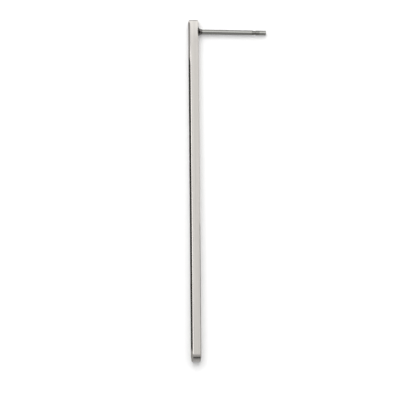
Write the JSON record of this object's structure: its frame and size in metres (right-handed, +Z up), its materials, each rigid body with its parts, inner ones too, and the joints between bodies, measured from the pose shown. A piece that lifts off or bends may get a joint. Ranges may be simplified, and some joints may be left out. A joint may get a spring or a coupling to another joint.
{
  "type": "bar earring",
  "caption": "Slim tapering bar stud earring in brushed metal, with bevelled front edges, a mirror-polished foot and a straight grooved ear post soldered near its narrow top end.",
  "frame": {"origin": "centre of the bounding box, on the surface that the earring lies on", "axes": "+X runs from the front face to the back and along the ear post, +Y runs up the bar from the foot to the top end, +Z runs up across the width of the bar, away from the surface"},
  "size_m": [0.013, 0.057, 0.0027],
  "materials": {
    "brushed_metal": "brushed lengthwise, with a mirror-polished foot, front bevels and ear post"
  },
  "bodies": {
    "root": {"earring": "brushed_metal"}
  },
  "joints": []
}
